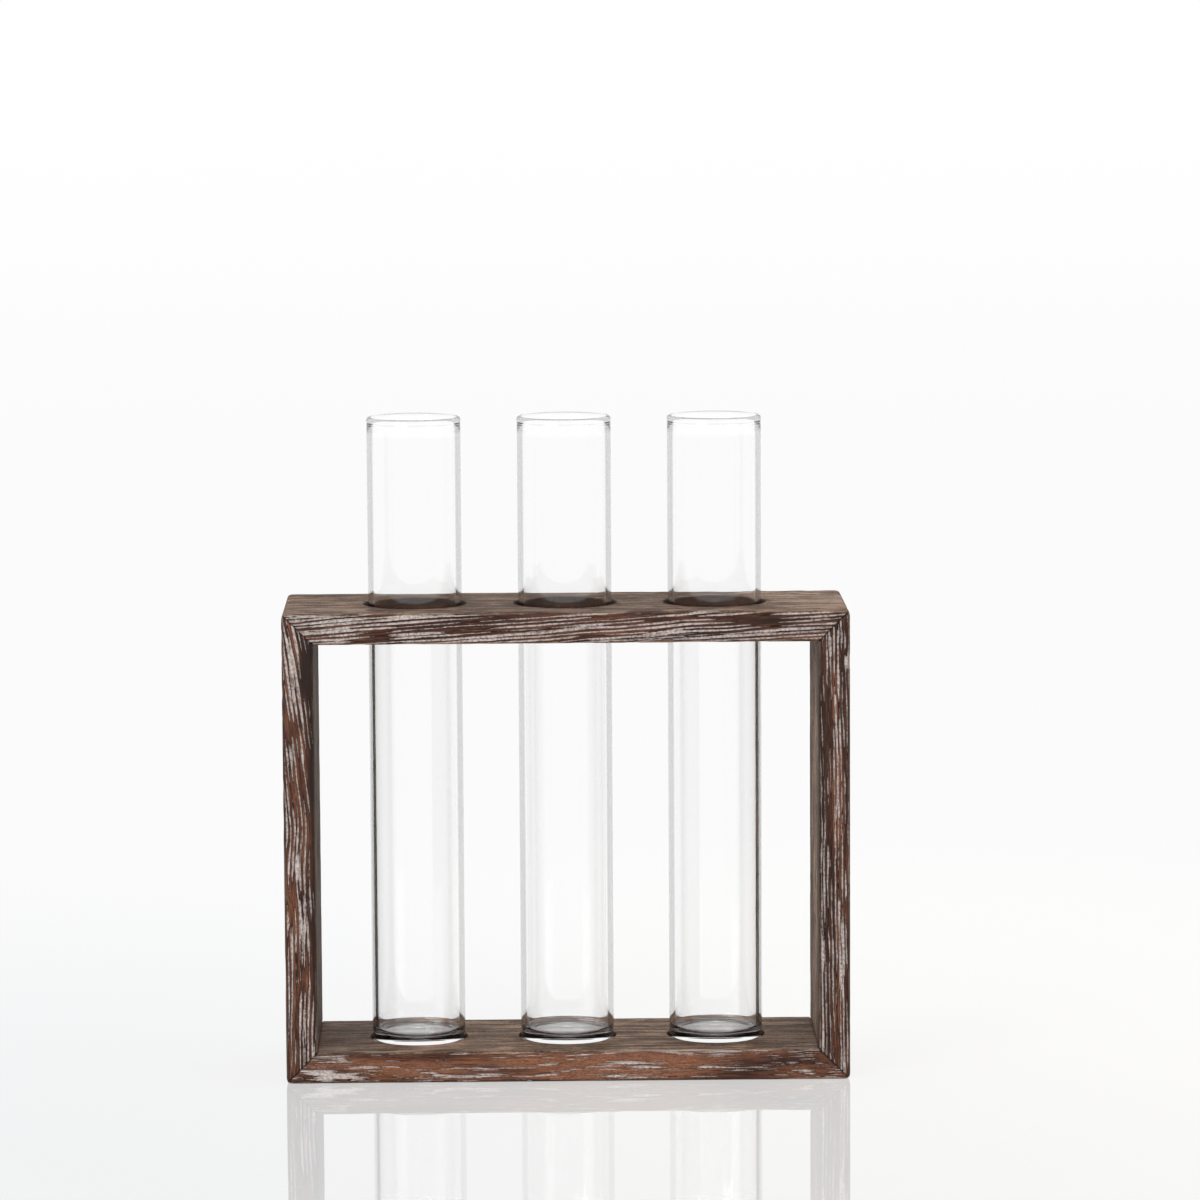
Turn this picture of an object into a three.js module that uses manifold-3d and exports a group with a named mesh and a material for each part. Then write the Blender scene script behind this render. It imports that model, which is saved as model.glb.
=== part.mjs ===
// A hydroponic vase: three clear glass tubes that stand loose in an open, mitred wooden box frame.
//
// Frame of reference: millimetres, +Z up, +X to the right seen from the front, +Y to the back.
// The origin is on the table, under the middle of the frame.
//
// The frame is four boards of one section, laid flat so that their width is the frame's depth. Their
// ends are cut at 45 degrees, glued, and pinned with two brads a corner through the upright boards.
// The top rail is bored through for the tubes. The bottom rail has a shallow recess under each hole,
// which keeps the foot of its tube from sliding. A tube lifts straight up and out for filling.
import * as THREE from 'three';
import { mergeVertices } from 'three/addons/utils/BufferGeometryUtils.js';
import Module from 'manifold-3d';

const wasm = await Module();
wasm.setup();

// Driving dimensions of the wooden frame
const frameWidth = 180;
const frameHeight = 151;
const frameDepth = 55;
const boardThickness = 10;
const boardEdgeRadius = 1.2;
const mitreGlueLine = 0.2;

// Driving dimensions of the glass tubes
const tubeCount = 3;
const tubePitch = 48;
const tubeRadius = 15;
const tubeWall = 1.8;
const tubeLength = 202.5;
const tubeBaseThickness = 3.5;
const tubeFootRadius = 1.5;
const tubeInsideFillet = 2;
const footRingWidth = 1.4;
const puntHeight = 0.6;
const lipBulge = 0.1;

// Driving dimensions of the holes and recesses that hold the tubes
const holeClearance = 1.4;
const holeChamfer = 0.4;
const recessClearance = 0.7;
const recessChamfer = 0.2;
const recessDepth = 1.5;

// Driving dimensions of the brads
const bradLength = 25;
const bradWidth = 1.25;
const bradThickness = 1.05;
const bradHeadWidth = 2.1;
const bradHeadHeight = 0.9;
const bradTipLength = 2.2;
const bradTipWidth = 0.3;
const bradSetBelowFace = 0.7;
const bradInsetFromEdge = 10;
const bradClearance = 0.06;

// Facet counts
const roundSides = 48;
const arcSteps = 6;

// Sizes that follow from the ones above
const halfWidth = frameWidth / 2;
const halfDepth = frameDepth / 2;
const holeRadius = tubeRadius + holeClearance;
const recessRadius = tubeRadius + recessClearance;
const recessFloor = boardThickness - recessDepth;
const tubeCentres = Array.from({ length: tubeCount }, (_, i) => (i - (tubeCount - 1) / 2) * tubePitch);

// Finishes
const wood = new THREE.MeshStandardMaterial({ color: 0x5b3f33, roughness: 0.78, metalness: 0 });
const glass = new THREE.MeshStandardMaterial({
  color: 0xeef4f1, roughness: 0.03, metalness: 0, transparent: true, opacity: 0.3,
});
const steel = new THREE.MeshStandardMaterial({ color: 0x8d8f91, roughness: 0.4, metalness: 1 });

// A closed geometry as a solid that can be joined and cut.
function solidFrom(geometry) {
  const bare = geometry.clone();
  bare.deleteAttribute('normal');
  bare.deleteAttribute('uv');
  const merged = mergeVertices(bare, 1e-4);
  return new wasm.Manifold(new wasm.Mesh({
    numProp: 3,
    vertProperties: merged.attributes.position.array,
    triVerts: new Uint32Array(merged.index.array),
  }));
}

// A solid as a geometry with flat facets.
function geometryFrom(solid) {
  const { numProp, numVert, vertProperties, triVerts } = solid.getMesh();
  const position = new Float32Array(numVert * 3);
  for (let i = 0; i < numVert; i++) {
    position.set(vertProperties.subarray(i * numProp, i * numProp + 3), i * 3);
  }
  const indexed = new THREE.BufferGeometry();
  indexed.setAttribute('position', new THREE.BufferAttribute(position, 3));
  indexed.setIndex(new THREE.BufferAttribute(new Uint32Array(triVerts), 1));
  const faceted = indexed.toNonIndexed();
  faceted.computeVertexNormals();
  return faceted;
}

// Points of an arc in a profile, given as [radius or x, height] pairs, both ends included.
function arc(centreX, centreY, radius, fromAngle, toAngle, steps) {
  return Array.from({ length: steps + 1 }, (_, i) => {
    const angle = fromAngle + (toAngle - fromAngle) * i / steps;
    return new THREE.Vector2(centreX + radius * Math.cos(angle), centreY + radius * Math.sin(angle));
  });
}

// A profile of (radius, height) points turned about the vertical axis.
function turned(profile) {
  return new THREE.LatheGeometry(profile, roundSides).rotateX(Math.PI / 2);
}

// The section of a board, width by thickness, with its four long edges eased by hand-sanding.
// The outer face is at the top, at zero, and the board hangs below it.
function boardSection() {
  const r = boardEdgeRadius;
  const x = halfDepth - r;
  const section = new THREE.Shape();
  section.absarc(x, -r, r, Math.PI / 2, 0, true);
  section.absarc(x, r - boardThickness, r, 0, -Math.PI / 2, true);
  section.absarc(-x, r - boardThickness, r, -Math.PI / 2, -Math.PI, true);
  section.absarc(-x, -r, r, Math.PI, Math.PI / 2, true);
  section.closePath();
  return section;
}

// The side view of a board with both ends mitred, as a prism wider than the board. Each mitre is set
// back by half the glue line, which is measured square to the cut.
function mitredPrism(length) {
  const outer = length / 2 - mitreGlueLine / 2 * Math.SQRT2;
  const over = boardThickness;
  const outline = new THREE.Shape([
    new THREE.Vector2(outer + over, over),
    new THREE.Vector2(outer - 2 * over, -2 * over),
    new THREE.Vector2(2 * over - outer, -2 * over),
    new THREE.Vector2(-outer - over, over),
  ]);
  const prism = new THREE.ExtrudeGeometry(outline, { depth: frameDepth + 2 * over, bevelEnabled: false });
  return prism.rotateX(Math.PI / 2).translate(0, halfDepth + over, 0);
}

// A blank board along X with its outer face up at zero, mitred at both ends.
function blankBoard(length) {
  const section = boardSection();
  const bar = new THREE.ExtrudeGeometry(section, {
    depth: length, bevelEnabled: false, curveSegments: arcSteps,
  });
  bar.translate(0, 0, -length / 2);
  // The section's x becomes the board's Y, its y the board's Z, and the extrusion runs along X.
  bar.applyMatrix4(new THREE.Matrix4().makeBasis(
    new THREE.Vector3(0, 1, 0), new THREE.Vector3(0, 0, 1), new THREE.Vector3(1, 0, 0),
  ));
  return solidFrom(bar).intersect(solidFrom(mitredPrism(length)));
}

// Where each board goes: its outer face looks up, down, left or right.
function placement(x, z, turnAboutY) {
  return new THREE.Matrix4().makeRotationY(turnAboutY).setPosition(x, 0, z);
}

// The bit that bores the top rail: a straight cylinder, opened to a chamfer at each face.
function throughBit(x) {
  const top = frameHeight;
  const bottom = frameHeight - boardThickness;
  const over = 1;
  const profile = [
    new THREE.Vector2(0, bottom - over),
    new THREE.Vector2(holeRadius + holeChamfer + over, bottom - over),
    new THREE.Vector2(holeRadius, bottom + holeChamfer),
    new THREE.Vector2(holeRadius, top - holeChamfer),
    new THREE.Vector2(holeRadius + holeChamfer + over, top + over),
    new THREE.Vector2(0, top + over),
  ];
  return turned(profile).translate(x, 0, 0);
}

// The bit that sinks a flat-bottomed recess in the bottom rail. It fits the tube closer than the hole
// above, and its mouth is only broken by a fine chamfer.
function recessBit(x) {
  const over = 1;
  const profile = [
    new THREE.Vector2(0, recessFloor),
    new THREE.Vector2(recessRadius, recessFloor),
    new THREE.Vector2(recessRadius, boardThickness - recessChamfer),
    new THREE.Vector2(recessRadius + recessChamfer + over, boardThickness + over),
    new THREE.Vector2(0, boardThickness + over),
  ];
  return turned(profile).translate(x, 0, 0);
}

// A brad along +X with its head's face at zero: a flat head, a flat wire shank and a chisel tip.
// Grown by a clearance all round it is the way that it makes in the wood, which runs out of the board's
// face behind the head.
function bradGeometry(grow) {
  const shank = bradWidth / 2 + grow;
  const head = bradHeadWidth / 2 + grow;
  const tip = bradTipWidth / 2 + grow;
  const end = bradLength + grow;
  const start = grow > 0 ? -2 * boardThickness : 0;
  const neck = bradHeadHeight + grow;
  const outline = new THREE.Shape([
    new THREE.Vector2(start, -head),
    new THREE.Vector2(neck, -head),
    new THREE.Vector2(neck, -shank),
    new THREE.Vector2(end - bradTipLength, -shank),
    new THREE.Vector2(end, -tip),
    new THREE.Vector2(end, tip),
    new THREE.Vector2(end - bradTipLength, shank),
    new THREE.Vector2(neck, shank),
    new THREE.Vector2(neck, head),
    new THREE.Vector2(start, head),
  ]);
  const thickness = bradThickness + 2 * grow;
  const brad = new THREE.ExtrudeGeometry(outline, { depth: thickness, bevelEnabled: false });
  return brad.translate(0, 0, -thickness / 2);
}

// Every brad: its name and where it goes. It enters an upright board's outer face, level with the
// middle of the rail that it holds.
function bradPlaces() {
  const places = [];
  for (const [level, z] of [['top', frameHeight - boardThickness / 2], ['bottom', boardThickness / 2]]) {
    for (const [hand, side] of [['left', -1], ['right', 1]]) {
      for (const [row, end] of [['front', -1], ['back', 1]]) {
        const x = side * (halfWidth - bradSetBelowFace);
        const y = end * (halfDepth - bradInsetFromEdge);
        const turn = side < 0 ? 0 : Math.PI;
        const matrix = new THREE.Matrix4().makeRotationZ(turn).setPosition(x, y, z);
        places.push({ name: `brad_${level}_${hand}_${row}`, matrix });
      }
    }
  }
  return places;
}

// A tube's profile, from the middle of its underside out, up, over the lip, and down inside.
function tubeProfile() {
  const inside = tubeRadius - tubeWall;
  const ringOuter = tubeRadius - tubeFootRadius;
  const ringInner = ringOuter - footRingWidth;
  const punt = Array.from({ length: arcSteps / 2 }, (_, i) => {
    const share = i / (arcSteps / 2);
    return new THREE.Vector2(ringInner * share, puntHeight * (1 - share * share));
  });
  // The lip is a round bead on top of the wall, proud of it outside by the bulge.
  const lipRadius = tubeWall / 2 + lipBulge * 0.75;
  const lipCentre = tubeRadius + lipBulge - lipRadius;
  const lipHeight = tubeLength - lipRadius;
  const lipStart = -Math.acos((tubeRadius - lipCentre) / lipRadius);
  const lipEnd = 2 * Math.PI - Math.acos((inside - lipCentre) / lipRadius);
  return [
    ...punt,
    new THREE.Vector2(ringInner, 0),
    ...arc(ringOuter, tubeFootRadius, tubeFootRadius, -Math.PI / 2, 0, arcSteps),
    ...arc(lipCentre, lipHeight, lipRadius, lipStart, lipEnd, arcSteps + 3),
    ...arc(inside - tubeInsideFillet, tubeBaseThickness + tubeInsideFillet, tubeInsideFillet,
      0, -Math.PI / 2, arcSteps),
    new THREE.Vector2(0, tubeBaseThickness),
  ];
}

const vase = new THREE.Group();
vase.name = 'hydroponic_vase';

// Adds a board: a blank, cut by tools that are given in the vase's own frame.
function addBoard(name, length, matrix, tools) {
  const intoBoard = matrix.clone().invert();
  let board = blankBoard(length);
  for (const tool of tools) {
    board = board.subtract(solidFrom(tool.clone().applyMatrix4(intoBoard)));
  }
  const mesh = new THREE.Mesh(geometryFrom(board), wood);
  mesh.name = name;
  mesh.applyMatrix4(matrix);
  vase.add(mesh);
}

const brads = bradPlaces();
const bradWays = brads.map(({ matrix }) => bradGeometry(bradClearance).applyMatrix4(matrix));

addBoard('top_rail', frameWidth, placement(0, frameHeight, 0), [...tubeCentres.map(throughBit), ...bradWays]);
addBoard('bottom_rail', frameWidth, placement(0, 0, Math.PI), [...tubeCentres.map(recessBit), ...bradWays]);
addBoard('left_stile', frameHeight, placement(-halfWidth, frameHeight / 2, -Math.PI / 2), bradWays);
addBoard('right_stile', frameHeight, placement(halfWidth, frameHeight / 2, Math.PI / 2), bradWays);

for (const { name, matrix } of brads) {
  const brad = new THREE.Mesh(bradGeometry(0), steel);
  brad.name = name;
  brad.applyMatrix4(matrix);
  vase.add(brad);
}

const tubeShape = turned(tubeProfile());
tubeCentres.forEach((x, i) => {
  const tube = new THREE.Mesh(tubeShape, glass);
  tube.name = `glass_tube_${i + 1}`;
  tube.position.set(x, 0, recessFloor);
  vase.add(tube);
});

export default vase;
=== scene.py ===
# %% [markdown]
# # Hydroponic vase
# Three clear glass tubes stand in an open frame of four boards. The boards are scorched, brushed until the
# hard grain stands up, rubbed with chalk-white wash, and sanded back so that the wash stays in the grooves.
# The packed CAD model is the fixed frame: it gives every size, and the pieces made here take its places.

# %% Load the fixed frame
import itertools
import math

import bpy
import numpy as np
from mathutils import Matrix, Vector


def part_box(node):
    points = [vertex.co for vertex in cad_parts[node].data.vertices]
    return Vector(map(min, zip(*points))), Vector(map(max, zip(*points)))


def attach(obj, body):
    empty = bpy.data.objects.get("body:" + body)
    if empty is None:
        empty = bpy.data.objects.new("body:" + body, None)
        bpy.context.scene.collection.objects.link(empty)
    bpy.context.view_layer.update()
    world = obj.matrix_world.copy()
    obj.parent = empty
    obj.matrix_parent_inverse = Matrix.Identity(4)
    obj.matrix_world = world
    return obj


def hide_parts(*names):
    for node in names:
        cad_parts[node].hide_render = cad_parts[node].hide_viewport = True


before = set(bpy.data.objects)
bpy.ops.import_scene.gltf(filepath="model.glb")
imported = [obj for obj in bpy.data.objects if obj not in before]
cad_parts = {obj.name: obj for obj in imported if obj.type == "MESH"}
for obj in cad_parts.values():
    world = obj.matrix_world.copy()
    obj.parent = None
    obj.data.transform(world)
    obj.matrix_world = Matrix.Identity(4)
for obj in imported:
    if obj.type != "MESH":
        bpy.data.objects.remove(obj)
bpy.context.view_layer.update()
MM = 0.001

# %% [markdown]
# ## Sizes
# All shapes below are worked out in millimetres and scaled once, when a mesh is laid down. The outer sizes
# could be typed in, but they are read from the CAD nodes, so that the looks can't drift away from them.

# %% Read the sizes
def span(node):
    """Lowest and highest corner of a CAD node in millimetres."""
    low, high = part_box(node)
    return np.array(low) / MM, np.array(high) / MM


height = span("top_rail")[1][2]
thickness = height - span("top_rail")[0][2]
half_width = span("right_stile")[1][0]
half_depth = span("top_rail")[1][1]
tube_names = ["glass_tube_1", "glass_tube_2", "glass_tube_3"]
tube_x = [float(sum(c[0] for c in span(n)) / 2) for n in tube_names]
print("frame", np.round([2 * half_width, 2 * half_depth, height], 2), "boards", round(thickness, 2))
print("tubes at", np.round(tube_x, 2))

# %% [markdown]
# ## A surface as a grid
# Each board and tube is one closed skin. It could be modelled by hand in Edit Mode, but its points follow
# formulas, so numpy works them out as whole grids. A grid is a sheet of points in rows and columns, and its
# neighbours become triangles. Grids that meet share their edge points exactly, so rounding the points and
# keeping one of each welds them. Triangles that shrink to a line at a pole fall away.

# %% Grids and welding
def grid_faces(rows, columns, start=0, flip=False):
    """Two triangles for each cell of a grid whose points are numbered row by row from start."""
    at = start + np.arange(rows * columns).reshape(rows, columns)
    a, b, c, d = at[:-1, :-1], at[:-1, 1:], at[1:, 1:], at[1:, :-1]
    faces = np.stack([a, b, c, a, c, d], axis=-1).reshape(-1, 3)
    return faces[:, ::-1] if flip else faces


def weld(points, faces, per_mm=10_000):
    """Keeps one of each point, to a tenth of a micron. Returns the kept points' numbers and the new faces."""
    _, first, same = np.unique(np.round(points * per_mm).astype(np.int64), axis=0,
                               return_index=True, return_inverse=True)
    faces = same.reshape(-1)[faces]
    a, b, c = faces.T
    return first, faces[(a != b) & (b != c) & (c != a)]


print("a sheet of 3 rows and 4 columns has", len(grid_faces(3, 4)), "triangles")


# %% Two tests of a skin
def open_edges(faces, most_points=10_000_000):
    """How many edges aren't shared by exactly two triangles that run along it in opposite directions."""
    edges = np.concatenate([faces[:, [0, 1]], faces[:, [1, 2]], faces[:, [2, 0]]])
    code = edges[:, 0] * most_points + edges[:, 1]
    back = edges[:, 1] * most_points + edges[:, 0]
    return int(len(code) - len(np.unique(code)) + np.sum(~np.isin(code, back)))


def volume(points, faces):
    """The sum of the small pyramids from the origin to each triangle: positive when the faces look out."""
    a, b, c = points[faces[:, 0]], points[faces[:, 1]], points[faces[:, 2]]
    return float(np.einsum("ij,ij->", a, np.cross(b, c)) / 6)


print("a lone triangle has", open_edges(np.array([[0, 1, 2]])), "open edges")


# %% Laying down a mesh
def lay_mesh(name, points, faces, numbers=None, vectors=None):
    """Makes an object from points in millimetres and triangles, with values kept at its points."""
    mesh = bpy.data.meshes.new(name)
    mesh.vertices.add(len(points))
    mesh.vertices.foreach_set("co", (points * MM).astype(np.float32).ravel())
    mesh.loops.add(faces.size)
    mesh.loops.foreach_set("vertex_index", faces.astype(np.int32).ravel())
    mesh.polygons.add(len(faces))
    mesh.polygons.foreach_set("loop_start", np.arange(0, faces.size, 3, dtype=np.int32))
    mesh.polygons.foreach_set("use_smooth", np.ones(len(faces), bool))
    for key, values in (numbers or {}).items():
        mesh.attributes.new(key, "FLOAT", "POINT").data.foreach_set("value", values.astype(np.float32))
    for key, values in (vectors or {}).items():
        kept = mesh.attributes.new(key, "FLOAT_VECTOR", "POINT")
        kept.data.foreach_set("vector", values.astype(np.float32).ravel())
    mesh.update(calc_edges=True)
    piece = bpy.data.objects.new(name, mesh)
    bpy.context.scene.collection.objects.link(piece)
    print(f"{name}: {len(points)} points, {len(faces)} triangles, {open_edges(faces)} open edges,",
          f"{volume(points, faces) / 1000:.2f} cm3")
    return piece


print("meshes of the frame:", len(bpy.data.meshes))

# %% [markdown]
# ## Smooth chance
# Wood is never even, but it changes slowly. Noise nodes could do that in the material alone, but the carving
# needs the same numbers, so numpy makes them. A lattice of seeded random numbers does it: between the
# corners of a cell the value glides along 3t^2 - 2t^3 on each axis. A cell that is long along the grain and
# thin across it gives streaks.

# %% Steps and lattice noise
def smooth(values, low, high):
    """0 below low, 1 above high, and 3t^2 - 2t^3 between them."""
    t = np.clip((values - low) / (high - low), 0, 1)
    return t * t * (3 - 2 * t)


def cloud(points, cell, seed, across=32, shift=100.5):
    """Random numbers from 0 to 1 on a lattice with this cell size, blended between the cell's corners.

    The lattice is 32 cells across and repeats. The shift puts the origin in the middle of a cell.
    """
    table = np.random.default_rng(seed).random((across, across, across))
    place = points / np.array(cell) + shift
    corner = np.floor(place).astype(int)
    t = place - corner
    t = t * t * (3 - 2 * t)
    value = np.zeros(points.shape[:-1])
    for step in itertools.product((0, 1), repeat=3):
        share = np.prod(np.where(step, t, 1 - t), axis=-1)
        at = (corner + np.array(step)) % across
        value += share * table[at[..., 0], at[..., 1], at[..., 2]]
    return value


def streaks(points, cell, seed, spread=1.7):
    """Three lattices, each about half as coarse and half as strong as the last, spread to fill 0 to 1."""
    cell = np.array(cell, float)
    total = (cloud(points, cell, seed) + 0.5 * cloud(points, cell * 0.53, seed + 1)
             + 0.25 * cloud(points, cell * 0.27, seed + 2)) / 1.75
    return np.clip(0.5 + (total - 0.5) * spread, 0, 1)


def bell(distance, width):
    """1 at no distance, and less by e to the minus (distance / width) squared further out."""
    return np.exp(-(distance / width) ** 2)


sample = streaks(np.linspace(0, 90, 2000)[:, None] * [1, 2, 3], (5, 5, 5), seed=1)
print("streaks run from", round(sample.min(), 2), "to", round(sample.max(), 2))

# %% [markdown]
# ## The boards' shape
# A real board is a planed strip with eased edges, sawn at 45 degrees and drilled. A box with Boolean and
# Bevel could give that, but it leaves long thin triangles, which can't be carved. So the board is a grid.
# It is drawn lying flat: x runs along it, y across it and z up to its outer face at zero. Half of its skin
# is a grid: the rows go round the section from the middle of the outer face, over the eased edge, down the
# narrow face and back along the inner face; the columns follow the grain. At a hole, the rows that lie on a
# wide face squeeze up against the rim, so one grid takes in the hole with no seams. The ends lean in at 45
# degrees, so there the columns fan out. The other half is its mirror image.

# %% Edges, ends and holes
edge_radius = 1.2       # the long edges of the boards
mitre_gap = 0.141       # how far each end stops short of a closed mitre, along the board
bore = (16.4, 0.4)      # radius and chamfer of the holes in the top rail
recess = (15.7, 0.2)    # the same for the recesses, which fit the tubes closer
recess_depth = 1.5
rail_core, upright_core = 66.5, 60.0    # half the stretch between the leaning ends
print("holes", 2 * bore[0], "mm and recesses", 2 * recess[0], "mm across")


# %% The rows of a board
def half_section(wide, arc, narrow, stops=()):
    """Rows of half a section: share of the hole's rim in y, the fixed part of y, z, and the normal's y, z."""
    flat = half_depth - edge_radius
    q = np.unique(np.r_[np.linspace(0, 1, wide), np.array(stops) / flat])
    bend = np.linspace(0, np.pi / 2, arc + 1)[1:-1]
    side = np.linspace(-edge_radius, edge_radius - thickness, narrow)
    one, none = np.ones_like, np.zeros_like
    over = [none(bend), flat + edge_radius * np.sin(bend), edge_radius * (np.cos(bend) - 1),
            np.sin(bend), np.cos(bend)]
    under = [over[0][::-1], over[1][::-1], -thickness - over[2][::-1], over[3][::-1], -over[4][::-1]]
    return np.hstack([
        [1 - q, flat * q, none(q), none(q), one(q)],
        over,
        [none(side), half_depth * one(side), side, one(side), none(side)],
        under,
        [1 - q[::-1], flat * q[::-1], -thickness * one(q), none(q), -one(q)],
    ])


print("rows of half a section:", half_section(wide=48, arc=6, narrow=54).shape[1])


# %% The columns of a board
def board_columns(core, step, hole_centres, rim, arcs, end_length, end_stops):
    """Columns along a board: x, the hole's half width there, and the share of the leaning end.

    Between the holes they are a step apart, and at a hole x = centre - rim cos t. Two more stand close to
    the tip.
    """
    turn = np.pi * np.arange(arcs + 1) / arcs
    close = 1 - np.array([0.15, 0.4]) / end_length
    xs, rims, last = [], [], -core
    for centre in hole_centres:
        gap = np.linspace(last, centre - rim, max(2, round((centre - rim - last) / step) + 1))
        xs += [gap[:-1], centre - rim * np.cos(turn[:-1])]
        rims += [0 * gap[:-1], rim * np.sin(turn[:-1])]
        last = centre + rim
    gap = np.linspace(last, core, max(2, round((core - last) / step) + 1))
    xs, rims = np.concatenate(xs + [gap]), np.concatenate(rims + [0 * gap])
    share = np.linspace(0, 1, round(end_length / step) + 1)[1:]
    share = np.unique(np.r_[share, close, end_stops])
    n = len(share)
    x = np.r_[np.full(n, -core), xs, np.full(n, core)]
    return x, np.r_[np.zeros(n), rims, np.zeros(n)], np.r_[-share[::-1], 0 * xs, share]


print("columns of a board with one hole:", len(board_columns(60, 0.75, [0], bore[0], 52, 29, [])[0]))


# %% The rings of a hole
def hole_rings(through, floor_rings=24):
    """Radius and z of each ring down a hole: chamfer, wall, and then the other chamfer or the floor."""
    radius, chamfer = bore if through else recess
    wall_rows = 24 if through else 12
    wall_r, rim_r = np.full(wall_rows, radius), radius + chamfer
    if through:
        wall_z = np.linspace(-chamfer, chamfer - thickness, wall_rows)
        return np.r_[rim_r, wall_r, rim_r], np.r_[0, wall_z, -thickness]
    floor_r, floor_z = np.linspace(radius, 0, floor_rings)[1:], recess_depth - thickness
    wall_z = np.linspace(chamfer - thickness, floor_z, wall_rows)
    return np.r_[rim_r, wall_r, floor_r], np.r_[-thickness, wall_z, np.full(len(floor_r), floor_z)]


print("rings of a hole and of a recess:", [len(hole_rings(through)[0]) for through in (True, False)])


# %% Rows and columns for a pit
def pit_stops(pit, core, end_length, steep=0.03):
    """Where a pit needs a row and a column on both sides of each of its walls, to make the walls steep."""
    if not pit:
        return [], []
    across, along, half_across, half_along = pit
    sides = list(itertools.product((-1, 1), (-steep, steep)))
    return ([across + s * (half_across + e) for s, e in sides],
            [(along + s * (half_along + e) - core) / end_length for s, e in sides])


print("stops for a pit 1 mm across:", np.round(pit_stops((17, 70, 0.5, 0.5), upright_core, 15)[0], 2))


# %% One closed skin for a board
def board_skin(length, hole_centres, through, pit=None, step=0.75, wide=48, edge=6, narrow=54, arcs=52):
    """Grids for the two halves, the holes' walls and floors, and a fan on each mitre, before any carving.

    Returns points, normals, a mark for hole walls, and faces. Half s: x = column, leaning to the mitre at
    the ends; y = s (share of rim + fixed part); z from the row. Wall: x = xc - R cos t, y = s R sin t.
    """
    core = rail_core if hole_centres else upright_core
    end_length = length / 2 - mitre_gap - core
    ring_r, ring_z = hole_rings(through)
    stops, end_stops = pit_stops(pit, core, end_length)
    x, rim, lean = board_columns(core, step, hole_centres, ring_r[0], arcs, end_length, end_stops)
    rim_share, fixed, z, ny, nz = half_section(wide, edge, narrow, stops)
    reach = length / 2 - mitre_gap + z - core
    holed = (z < -thickness / 2) | through
    points, normals, walls, faces, total = [], [], [], [], 0

    def add(px, py, pz, n, wall, flip):
        nonlocal total
        rows, columns = px.shape
        points.append(np.stack([px, py, pz], axis=-1).reshape(-1, 3))
        normals.append(np.broadcast_to(n, (rows, columns, 3)).reshape(-1, 3))
        walls.append(np.full(rows * columns, wall))
        faces.append(grid_faces(rows, columns, total, flip))
        total += rows * columns

    for s in (1, -1):
        px = x[None, :] + lean[None, :] * reach[:, None]
        py = s * (rim_share[:, None] * rim[None, :] * holed[:, None] + fixed[:, None])
        n = np.stack([0 * ny, s * ny, nz], axis=-1)[:, None, :]
        add(px, py, np.broadcast_to(z[:, None], px.shape), n, 0.0, s < 0)
    half_points, rows, columns = total // 2, len(z), len(x)

    turn = np.pi * np.arange(arcs + 1) / arcs
    for centre, s in itertools.product(hole_centres, (1, -1)):
        px = centre - ring_r[:, None] * np.cos(turn)
        py = s * ring_r[:, None] * np.sin(turn)
        n = np.stack([np.cos(turn), -s * np.sin(turn), 0 * turn], axis=-1)[None]
        add(px, py, np.broadcast_to(ring_z[:, None], px.shape), n, 1.0, (s > 0) == through)

    for column, out in ((0, -1), (columns - 1, 1)):
        loop = np.arange(rows) * columns + column
        ends = np.concatenate([loop, half_points + loop[::-1]])
        middle = total
        points.append([[out * (length / 2 - mitre_gap - thickness / 2), 0, -thickness / 2]])
        normals.append([[out, 0, 0]])
        walls.append([0.0])
        total += 1
        fan = np.stack([ends, np.roll(ends, -1), np.full(len(ends), middle)], axis=-1)
        faces.append(fan[:, ::-1] if out > 0 else fan)
    points, normals, walls = map(np.concatenate, (points, normals, walls))
    kept, faces = weld(points, np.concatenate(faces))
    return points[kept], normals[kept], walls[kept], faces


test_skin = board_skin(2 * half_width, tube_x, True)
print("top rail skin:", len(test_skin[0]), "points,", len(test_skin[3]), "triangles,",
      open_edges(test_skin[3]), "open edges,", round(volume(test_skin[0], test_skin[3]) / 1000, 2), "cm3")

# %% [markdown]
# ## The tree in a board
# The lines on a board are year rings that the saw has cut. Streaks could be laid on each face by itself, but
# they wouldn't meet at the edges. A plank comes from a round tree, so its pattern is made in the tree's own
# coordinates: along the trunk, out from the pith, and round it. Year rings are waves of the distance from
# the pith. The pith sits somewhere beside the board, and the trunk drifts sideways along it, which is what
# lays the lines of the narrow faces at a slant. The same coordinates are kept at the mesh's points for the
# material.

# %% Tree coordinates
def tree_place(points, pith, drift, wander, seed, skin=11):
    """Along, out and round: distance from the pith minus the trunk's drift, bent a little by slow noise.

    The drift is full at the narrow faces and fades by a bell curve, as wide as the skin, to a fifth.
    """
    x, y, z = points.T
    share = 0.2 + 0.8 * bell(half_depth - np.abs(y), skin)
    dy, dz = y - pith[0], z - pith[1]
    out = np.hypot(dy, dz)
    mean = math.hypot(pith[0], pith[1])
    slow = cloud(points, (38, 16, 16), seed) + 0.5 * cloud(points, (15, 7, 7), seed + 1) - 0.75
    return np.stack([x, out - drift(x) * share + wander * slow, np.arctan2(dy, dz) * mean], axis=-1)


def patches(points, spots):
    """The sum of soft ellipsoids: each has a centre, three half sizes and an amount."""
    total = np.zeros(len(points))
    for *numbers, amount in spots:
        centre, size = np.array(numbers[:3], float), np.array(numbers[3:], float)
        total += amount * np.exp(-np.sum(((points - centre) / size) ** 2, axis=-1))
    return total


print("a spot of 0.5, at its middle:", patches(np.zeros((1, 3)), [(0, 0, 0, 9, 9, 9, 0.5)]))

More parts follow.
